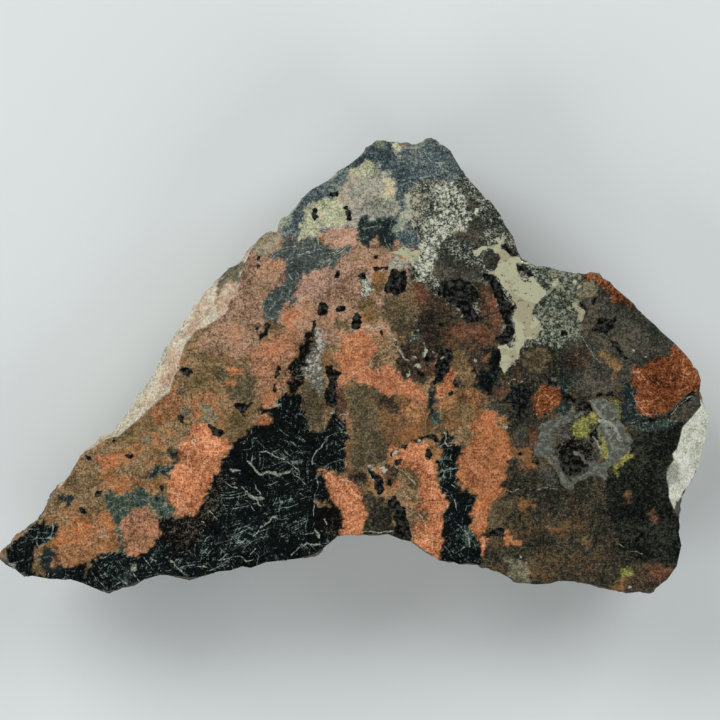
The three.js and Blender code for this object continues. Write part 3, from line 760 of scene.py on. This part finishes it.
def skarnMaterial(name, roughness, bumpHeight):
    material = bpy.data.materials.new(name)
    material.use_nodes = True
    material.node_tree.nodes.clear()
    add = partial(addNode, material.node_tree)
    look = skarnLook
    tints = {tint: (*linear(code), 1) for tint, code in look["colours"].items()}

    objectPlace = add("TexCoord", output="Object")
    place = add("VectorMath", {0: objectPlace, "Scale": 1 / mm}, operation="SCALE")
    fields = {}
    for output, names in (("Color", ("mid", "pale", "deep")), ("Vector", ("paleVeinsAndRimHighlight", "darkCracks")),
                          ("Fac", ("felt", "specks", "stain", *sharpGrains))):
        for field in names:
            fields[field] = add("Attribute", output=output, attribute_name=field)
    cloud, crystal, fleck, scatter, steps = [
        add("TexNoise", {"Vector": place, "Scale": 1 / size, "Detail": detail, "Roughness": rough})
        for size, detail, rough in look["noises"]]

    mottled = 0.5 - sum(look["mottling"]) / 2
    for layer, depth in zip((cloud, crystal, fleck), look["mottling"]):
        mottled = add("Math", {0: layer, 1: depth, 2: mottled}, operation="MULTIPLY_ADD")
    patchy = add("MapRange", {"Value": crystal, **between(0.5, 0.56)})

    # Needles lie in three directions, each in its own tufts. They run where a long thin noise is
    # high, and a slow bend keeps them from being ruled.
    bend = add("TexNoise", {"Vector": place, "Scale": 0.09, "Detail": 2}, "Color")
    bentPlace = add("VectorMath", {0: bend, 1: (look["needleBend"],) * 3, 2: place}, operation="MULTIPLY_ADD")
    tufts = add("SeparateColor", {0: cloud.node.outputs["Color"]}).node.outputs
    needles = 0
    for turn, tuft in zip(look["needleTurns"], tufts):
        along = add("Mapping", {
            "Vector": bentPlace, "Rotation": (0, 0, math.radians(turn)),
            "Scale": (look["needleLength"], look["needleWidth"], look["needleLength"])}, vector_type="TEXTURE")
        lines = add("TexNoise", {"Vector": along, "Scale": 1, "Detail": 2})
        lines = add("MapRange", {"Value": lines, **between(*look["needleEdge"])})
        tuft = add("MapRange", {"Value": tuft, **between(*look["tuftEdge"]), "To Min": 0.3})
        lines = add("Math", {0: lines, 1: tuft}, operation="MULTIPLY")
        needles = add("Math", {0: lines, 1: needles}, operation="MAXIMUM")
    faded = add("MapRange", {"Value": crystal, **between(0.3, 0.7), "To Min": 0.3, "To Max": 1.1})
    needles = add("Math", {0: needles, 1: faded}, operation="MULTIPLY")

    # From the deepest colour of the mineral through its usual one to its palest.
    quiet = add("Math", {0: fields["felt"], 1: -0.6, 2: 1}, operation="MULTIPLY_ADD")
    quiet = add("Math", {0: quiet, 1: mottled}, operation="MULTIPLY")
    felted = add("Math", {0: needles, 1: fields["felt"], 2: quiet}, operation="MULTIPLY_ADD")
    lower = add("MapRange", {"Value": felted, **between(0, 0.5)})
    upper = add("MapRange", {"Value": felted, **between(0.5, 1)})
    colour = add("Mix", {0: lower, 6: fields["deep"], 7: fields["mid"]}, 2, data_type="RGBA")
    colour = add("Mix", {0: upper, 6: colour, 7: fields["pale"]}, 2, data_type="RGBA")

    # Rust stains and olive grains, each in its own places.
    for tint, patch in zip(("rust", "oliveGrain"), tufts):
        stained = add("MapRange", {"Value": patch, **between(*look["stainEdge"])})
        stained = add("Math", {0: stained, 1: fields["stain"]}, operation="MULTIPLY")
        colour = add("Mix", {0: stained, 6: colour, 7: tints[tint]}, 2, data_type="RGBA", blend_type="MULTIPLY")

    # Scattered pale grains where the mineral has them.
    thick = add("Math", {0: fields["specks"], 1: 0.28, 2: scatter}, operation="MULTIPLY_ADD")
    speck = add("MapRange", {"Value": thick, **between(*look["speckEdge"])})
    colour = add("Mix", {0: speck, 6: colour, 7: fields["pale"]}, 2, data_type="RGBA")

    # Sharp grains, with small steps in their edges. Sulphide's two tones are wide, with crisp edges.
    # Black grains are mottled softly.
    reach = look["edgeReach"] / 2
    steps = add("MapRange", {"Value": steps, "To Min": -reach, "To Max": reach})
    patches = {
        "sulphide": add("MapRange", {"Value": tufts[2], **between(0.49, 0.51)}),
        "black": add("MapRange", {"Value": crystal, **between(0.46, 0.64)}),
    }
    masks = {}
    for field, second in (("black", "blackFlecked"), ("greySulphide", "greySulphidePaler"),
                          ("sulphide", "sulphideGreener"), ("chalk", "chalkDeeper")):
        edge = add("Math", {0: fields[field], 1: steps}, operation="ADD")
        start, half = -look["grown"].get(field, 0), look["edgeWidth"] / 2
        masks[field] = add("MapRange", {"Value": edge, **between(start - half, start + half)})
        grain = add("Mix", {0: patches.get(field, patchy), 6: tints[field], 7: tints[second]}, 2, data_type="RGBA")
        colour = add("Mix", {0: masks[field], 6: colour, 7: grain}, 2, data_type="RGBA")

    # Small black grains, and pits painted black as the shade in them.
    metal = add("Math", {0: masks["sulphide"], 1: masks["greySulphide"]}, operation="MAXIMUM")
    pitShadeAndBlackGrains = add("Math", {0: fields["stain"], 1: -0.06, 2: scatter}, operation="MULTIPLY_ADD")
    pitShadeAndBlackGrains = add("Math", {0: metal, 1: -0.05, 2: pitShadeAndBlackGrains}, operation="MULTIPLY_ADD")
    pitShadeAndBlackGrains = add("MapRange", {"Value": pitShadeAndBlackGrains, **between(*look["pitShadeAndBlackGrainsEdge"]), "To Max": 0.8})
    colour = add("Mix", {0: pitShadeAndBlackGrains, 6: colour, 7: tints["black"]}, 2, data_type="RGBA")

    # Thin pale veins and the painted rim highlight, which take some of the mineral's tint, and dark cracks.
    worn = add("MapRange", {"Value": fleck, **between(0.35, 0.6), "To Min": 0.25})
    veined = add("Mix", {0: 0.75, 6: fields["pale"], 7: tints["vein"]}, 2, data_type="RGBA")
    for field, tint in (("paleVeinsAndRimHighlight", veined), ("darkCracks", tints["black"])):
        away = add("VectorMath", {0: fields[field]}, "Value", operation="LENGTH")
        away = add("Math", {0: steps, 1: 2.5, 2: away}, operation="MULTIPLY_ADD")
        line = add("MapRange", {"Value": away, **between(1, 0.2), "To Max": 0.7})
        line = add("Math", {0: line, 1: worn}, operation="MULTIPLY")
        colour = add("Mix", {0: line, 6: colour, 7: tint}, 2, data_type="RGBA")

    metallic = add("Math", {0: metal, 1: look["metallic"]}, operation="MULTIPLY")
    rough = add("MapRange", {
        "Value": crystal, **between(0.3, 0.7), "To Min": roughness - 0.05, "To Max": roughness + 0.08})
    relief = add("Math", {0: crystal, 1: 0.6, 2: cloud}, operation="MULTIPLY_ADD")
    bump = add("Bump", {"Height": relief, "Strength": 1, "Distance": bumpHeight})
    shader = add("BsdfPrincipled", {"Base Color": colour, "Metallic": metallic, "Roughness": rough,
                                    "IOR": 1.6, "Specular IOR Level": 0.15, "Normal": bump})
    add("OutputMaterial", {"Surface": shader}, None)
    return material


def dressStone(stone):
    stone.data.materials.clear()
    # Skarn, sawn and polished: a flat sheen with the colours deep and clear.
    stone.data.materials.append(skarnMaterial("polishedSkarn", 0.25, 0.01 * mm))
    # Skarn, broken: matt, granular and paled by dust.
    stone.data.materials.append(skarnMaterial("brokenSkarn", 0.78, 1.5 * mm))
    sawn = faceMiddles(stone.data)[:, 2] > sawnHeight - 0.01 * mm
    stone.data.polygons.foreach_set("material_index", np.where(sawn, 0, 1))


# A pale floor, soft light from all round and a camera straight above.
studio = {
    "floorWidth": 4,
    "floorColour": "#D4DADA",
    "skyColour": "#EEF2F4",
    "skyStrength": 0.1,
    "lights": [  # place in metres, width in metres, watts
        ((-1.0, 1.1, 1.1), 1.2, 24),
        ((1.2, 0.9, 1.1), 1.2, 16),
        ((1.0, -1.2, 1.0), 1.2, 12),
        ((-1.2, -1.0, 1.0), 1.2, 14),
    ],
    "cameraHeight": 1.4,     # above the sawn face
    "sensorWidth": 36,
}


def makeStudio():
    bpy.ops.object.select_all(action="DESELECT")
    bpy.ops.mesh.primitive_plane_add(size=studio["floorWidth"])
    floor = bpy.context.active_object
    floor.name = "floor"
    paper = bpy.data.materials.new("mattPaper")
    paper.use_nodes = True
    shader = paper.node_tree.nodes["Principled BSDF"]
    shader.inputs["Base Color"].default_value = (*linear(studio["floorColour"]), 1)
    shader.inputs["Roughness"].default_value = 0.9
    floor.data.materials.append(paper)

    world = bpy.data.worlds.new("softSky")
    world.use_nodes = True
    sky = world.node_tree.nodes["Background"]
    sky.inputs["Color"].default_value = (*linear(studio["skyColour"]), 1)
    sky.inputs["Strength"].default_value = studio["skyStrength"]
    bpy.context.scene.world = world

    for index, (place, width, watts) in enumerate(studio["lights"]):
        bpy.ops.object.light_add(type="AREA", location=place)
        light = bpy.context.active_object
        light.name = f"softLight{index}"
        light.data.size = width
        light.data.energy = watts
        light.rotation_euler = (-Vector(place)).to_track_quat("-Z", "Y").to_euler()

    frameWidth = picture["size"] * pixel
    middle = (pictureLeft + frameWidth / 2, pictureTop - frameWidth / 2)
    bpy.ops.object.camera_add(location=(*middle, sawnHeight + studio["cameraHeight"]), rotation=(0, 0, 0))
    camera = bpy.context.active_object
    camera.data.sensor_width = studio["sensorWidth"]
    camera.data.lens = studio["sensorWidth"] * studio["cameraHeight"] / frameWidth
    camera.data.clip_end = 10
    bpy.context.scene.camera = camera
    bpy.context.scene.view_settings.view_transform = "Standard"
    print("studio: floor, lights and camera")


stone = makeStone()
paintStone(stone)
dressStone(stone)
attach(stone, "root")
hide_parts("skarn_stone")

makeStudio()
